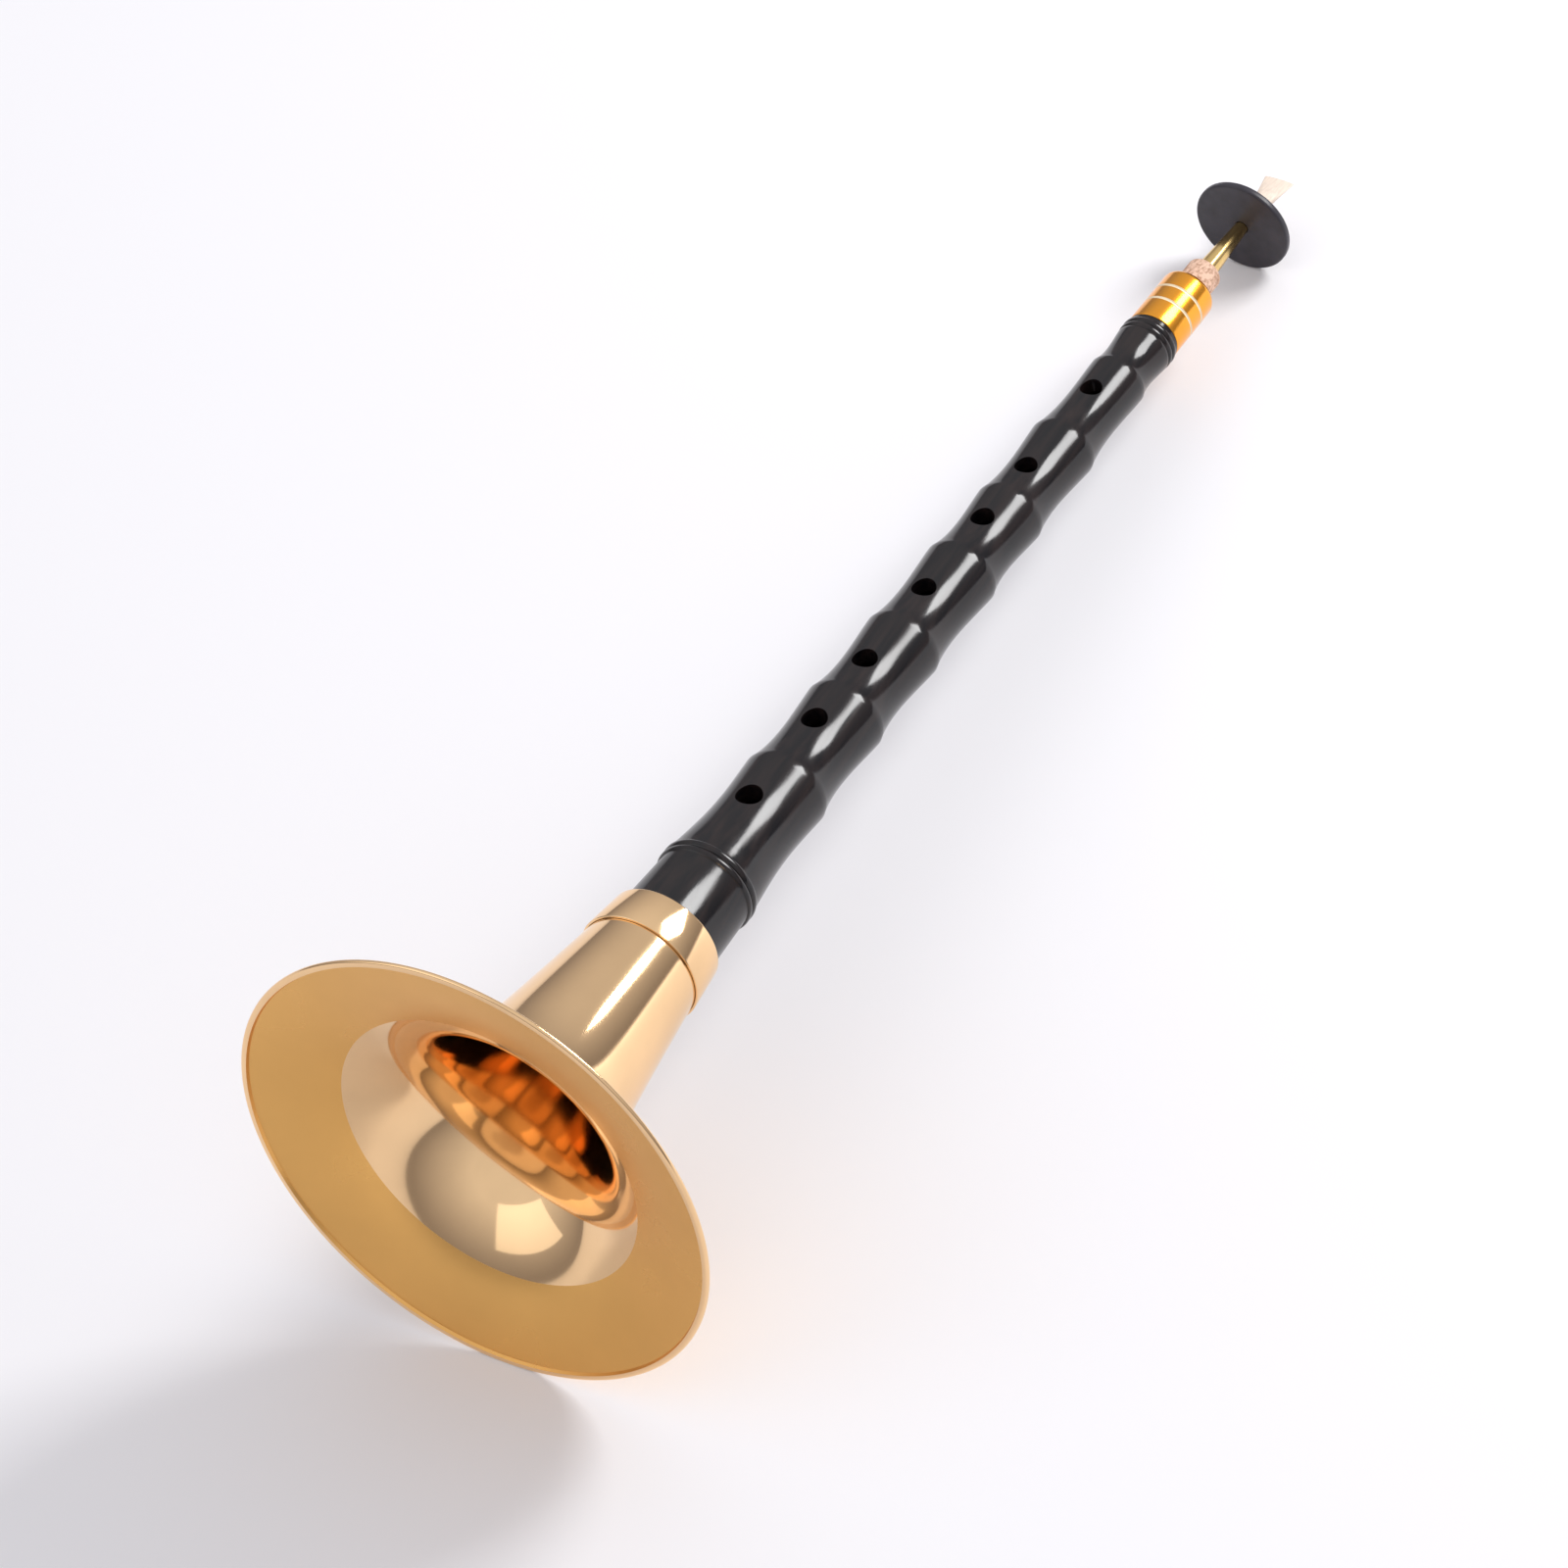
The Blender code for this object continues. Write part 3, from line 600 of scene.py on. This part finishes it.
class SUONA_OT_core(bpy.types.Operator):
    """Turns the grooved tuning head and finishes the tube and corks below it"""

    bl_idname = "suona.core"
    bl_label = "Tuning core"

    def execute(self, context):
        radius = sizes().head_radius
        outline = arc(radius - HEAD_ROUNDING, HEAD_TOP - HEAD_ROUNDING, HEAD_ROUNDING, 90, 0, 10)
        for middle in HEAD_GROOVES:
            outline += arc(radius + GROOVE_OUTSET, middle, GROOVE_SIZE, 105, 255, 8)
        outline += arc(radius - EDGE_ROUNDING, HEAD_FOOT + EDGE_ROUNDING, EDGE_ROUNDING, 0, -90, 4)
        floor = HEAD_FLOOR - HEAD_FLOOR_WALL
        outline += [(TUBE_SEAT_RADIUS, HEAD_FOOT), (TUBE_SEAT_RADIUS, floor)]
        outline += [(BORE_TOP_RADIUS, floor), (BORE_TOP_RADIUS, HEAD_FLOOR)]
        outline += [(CORK_SEAT_RADIUS, HEAD_FLOOR), (CORK_SEAT_RADIUS, HEAD_TOP)]
        head = turn_outline("tuning_head_turned", outline, PIPE_FACETS)
        place(head, "tuning_core", lacquered_brass(), "lacquered_gold", "tuning_head")
        head.data.materials.append(cream_line())
        for face in head.data.polygons:
            height, away = height_and_radius(face.center)
            near = min(abs(height - groove) for groove in HEAD_GROOVES)
            if near < GROOVE_SIZE and radius - GROOVE_SIZE < away < radius - GROOVE_LINE_DEPTH:
                face.material_index = 1
        finishes = {"tenon_cork": cut_cork(), "core_cork": cut_cork(), "core_tube": drawn_brass()}
        for node, material in finishes.items():
            frame["nodes"][node].material_slots[0].material = material
        return {"FINISHED"}


def staple_radius(height):
    """Outer radius of the tapering staple."""
    share = (height - STAPLE_FOOT) / STAPLE_LENGTH
    return STAPLE_FOOT_RADIUS + (STAPLE_TIP_RADIUS - STAPLE_FOOT_RADIUS) * share


def round_staple(*heights):
    """Points of a bore that follows the staple with a small gap, at the given heights."""
    return [(staple_radius(height) + STAPLE_GAP, height) for height in heights]


class SUONA_OT_staple(bpy.types.Operator):
    """Turns the staple and the cork that seats it in the head"""

    bl_idname = "suona.staple"
    bl_label = "Staple and cork"

    def execute(self, context):
        radius = sizes().cork_radius
        outline = arc(radius - CORK_ROUNDING, CORK_TOP - CORK_ROUNDING, CORK_ROUNDING, 90, 0, 8)
        outline += [(radius, HEAD_TOP), (CORK_FOOT_RADIUS, CORK_FOOT), *round_staple(CORK_FOOT, CORK_TOP)]
        cork = turn_outline("staple_cork_cut", outline, CORK_FACETS)
        place(cork, "staple", cut_cork(), "natural_cork", "staple_cork")
        ends = (STAPLE_FOOT + STAPLE_LENGTH, STAPLE_FOOT)
        outside = [(staple_radius(height), height) for height in ends]
        inside = [(staple_radius(height) - STAPLE_WALL, height) for height in reversed(ends)]
        tube = turn_outline("staple_drawn", outside + inside, SMALL_FACETS)
        place(tube, "staple", drawn_brass(), "staple_brass", "staple")
        return {"FINISHED"}


class SUONA_OT_disc(bpy.types.Operator):
    """Turns the lip disc with its rounded edge"""

    bl_idname = "suona.disc"
    bl_label = "Lip disc"

    def execute(self, context):
        rim = sizes().disc_radius - DISC_ROUNDING
        outline = arc(rim, DISC_BACK - DISC_ROUNDING, DISC_ROUNDING, 90, 0, 6)
        outline += arc(rim, DISC_FACE + DISC_ROUNDING, DISC_ROUNDING, 0, -90, 6)
        outline += round_staple(DISC_FACE, DISC_BACK)
        disc = turn_outline("lip_disc_turned", outline, PIPE_FACETS)
        place(disc, "lip_disc", satin_horn(), "charcoal_horn", "lip_disc")
        return {"FINISHED"}


class SUONA_OT_reed(bpy.types.Operator):
    """Shapes the cane reed from a tube and winds the wire round its neck"""

    bl_idname = "suona.reed"
    bl_label = "Reed"

    def execute(self, context):
        bore = staple_radius(REED_FOOT) + STAPLE_GAP
        heights = [REED_FOOT + REED_LENGTH * k / REED_STEPS for k in range(REED_STEPS + 1)]
        outline = [(REED_NECK_RADIUS, h) for h in reversed(heights)] + [(bore, h) for h in heights]
        reed = turn_outline("reed_blades", outline, SMALL_FACETS)
        tip_wide = sizes().reed_width / 2.0 / REED_NECK_RADIUS
        tip_thick = REED_TIP_HALF / REED_NECK_RADIUS
        for vertex in reed.data.vertices:
            offset = vertex.co - MOUTH
            height, side, up = offset.dot(ALONG), offset.dot(ACROSS), offset.dot(HOLE_SIDE)
            share = (height - REED_FOOT) / REED_LENGTH
            spread = max(0.0, (share - REED_NECK_SHARE) / (1.0 - REED_NECK_SHARE))
            wide = 1.0 + (tip_wide - 1.0) * spread
            thick = 1.0 + (tip_thick - 1.0) * math.sin(spread * math.pi / 2.0)
            vertex.co = MOUTH + ALONG * height + ACROSS * side * wide + HOLE_SIDE * up * thick
        place(reed, "reed", scraped_cane(), "reed_cane", "reed")
        inner, foot = REED_NECK_RADIUS + WIRE_GAP, REED_FOOT + WIRE_ABOVE_FOOT
        outline = []
        for turn in reversed(range(WIRE_TURNS)):
            middle = foot + WIRE_RADIUS * (2 * turn + 1)
            outline += arc(inner + WIRE_RADIUS, middle, WIRE_RADIUS, 80, -80, 8)
        outline += [(inner, foot), (inner, foot + 2 * WIRE_TURNS * WIRE_RADIUS)]
        binding = turn_outline("reed_wire", outline, SMALL_FACETS)
        place(binding, "reed", bpy.data.materials["copper_wire"], "copper_wire", "reed_binding")
        return {"FINISHED"}


def add_lamp(name, towards, distance, power, size):
    """A square soft box that looks at the middle of the suona."""
    data = bpy.data.lights.new(name, "AREA")
    data.energy = power
    data.size = size
    lamp = bpy.data.objects.new(name, data)
    lamp.location = Vector(towards).normalized() * distance
    lamp.rotation_mode = "QUATERNION"
    lamp.rotation_quaternion = Vector(towards).to_track_quat("Z", "Y")
    bpy.context.scene.collection.objects.link(lamp)


def make_world():
    """A pale surrounding that is brighter overhead than at the sides."""
    world = bpy.data.worlds.new("studio")
    world.use_nodes = True
    nodes, link = world.node_tree.nodes, world.node_tree.links.new
    coordinates, split = nodes.new("ShaderNodeTexCoord"), nodes.new("ShaderNodeSeparateXYZ")
    ramp = nodes.new("ShaderNodeValToRGB")
    for stop, (position, colour) in zip(ramp.color_ramp.elements, (SIDES, OVERHEAD)):
        stop.position = position
        stop.color = colour
    link(coordinates.outputs["Generated"], split.inputs["Vector"])
    link(split.outputs["Z"], ramp.inputs["Fac"])
    link(ramp.outputs["Color"], nodes["Background"].inputs["Color"])
    bpy.context.scene.world = world


class SUONA_OT_stage(bpy.types.Operator):
    """Lays the pale floor and sets the lamps and the camera"""

    bl_idname = "suona.stage"
    bl_label = "Stage"

    def execute(self, context):
        bpy.ops.object.select_all(action="DESELECT")
        bpy.ops.mesh.primitive_plane_add(size=FLOOR_SIZE)
        floor = bpy.context.object
        floor.name = "floor"
        material = bpy.data.materials.new("floor_paper")
        material.use_nodes = True
        shader = material.node_tree.nodes["Principled BSDF"]
        shader.inputs["Base Color"].default_value = (*colours().floor, 1.0)
        shader.inputs["Roughness"].default_value = FLOOR_ROUGHNESS
        floor.data.materials.append(material)
        make_world()
        add_lamp("key_box", towards=(0.66, -0.42, 0.6), distance=1.6, power=18.0, size=0.6)
        add_lamp("fill_box", towards=(-0.9, 0.7, 0.8), distance=2.0, power=3.5, size=1.4)
        data = bpy.data.cameras.new("camera")
        data.lens = CAMERA_LENS
        data.sensor_width = CAMERA_SENSOR
        data.clip_end = CAMERA_REACH
        camera = bpy.data.objects.new("camera", data)
        turn = Matrix((CAMERA_RIGHT, CAMERA_UP, CAMERA_BACK)).transposed().to_4x4()
        camera.matrix_world = Matrix.Translation(CAMERA_PLACE) @ turn
        context.scene.collection.objects.link(camera)
        context.scene.camera = camera
        context.scene.view_settings.view_transform = "Standard"
        return {"FINISHED"}


class SUONA_PT_panel(bpy.types.Panel):
    bl_idname = "SUONA_PT_panel"
    bl_label = "Suona"
    bl_space_type = "VIEW_3D"
    bl_region_type = "UI"
    bl_category = "Suona"

    def draw(self, context):
        for operator in OPERATORS:
            self.layout.operator(operator.bl_idname)
        for group in (context.scene.suona_sizes, context.scene.suona_colours):
            for name in group.bl_rna.properties.keys():
                if name not in ("rna_type", "name"):
                    self.layout.prop(group, name)


OPERATORS = (
    SUONA_OT_bell,
    SUONA_OT_ferrule,
    SUONA_OT_pipe,
    SUONA_OT_core,
    SUONA_OT_staple,
    SUONA_OT_disc,
    SUONA_OT_reed,
    SUONA_OT_stage,
)
CLASSES = (SuonaSizes, SuonaColours, *OPERATORS, SUONA_PT_panel)


def register():
    for item in CLASSES:
        bpy.utils.register_class(item)
    bpy.types.Scene.suona_sizes = bpy.props.PointerProperty(type=SuonaSizes)
    bpy.types.Scene.suona_colours = bpy.props.PointerProperty(type=SuonaColours)


def unregister():
    del bpy.types.Scene.suona_colours
    del bpy.types.Scene.suona_sizes
    for item in reversed(CLASSES):
        bpy.utils.unregister_class(item)


def main():
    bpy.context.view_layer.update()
    register()
    bpy.ops.suona.bell()
    bpy.ops.suona.ferrule()
    bpy.ops.suona.pipe()
    bpy.ops.suona.core()
    bpy.ops.suona.staple()
    bpy.ops.suona.disc()
    bpy.ops.suona.reed()
    bpy.ops.suona.stage()
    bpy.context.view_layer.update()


if __name__ == "__main__":
    main()
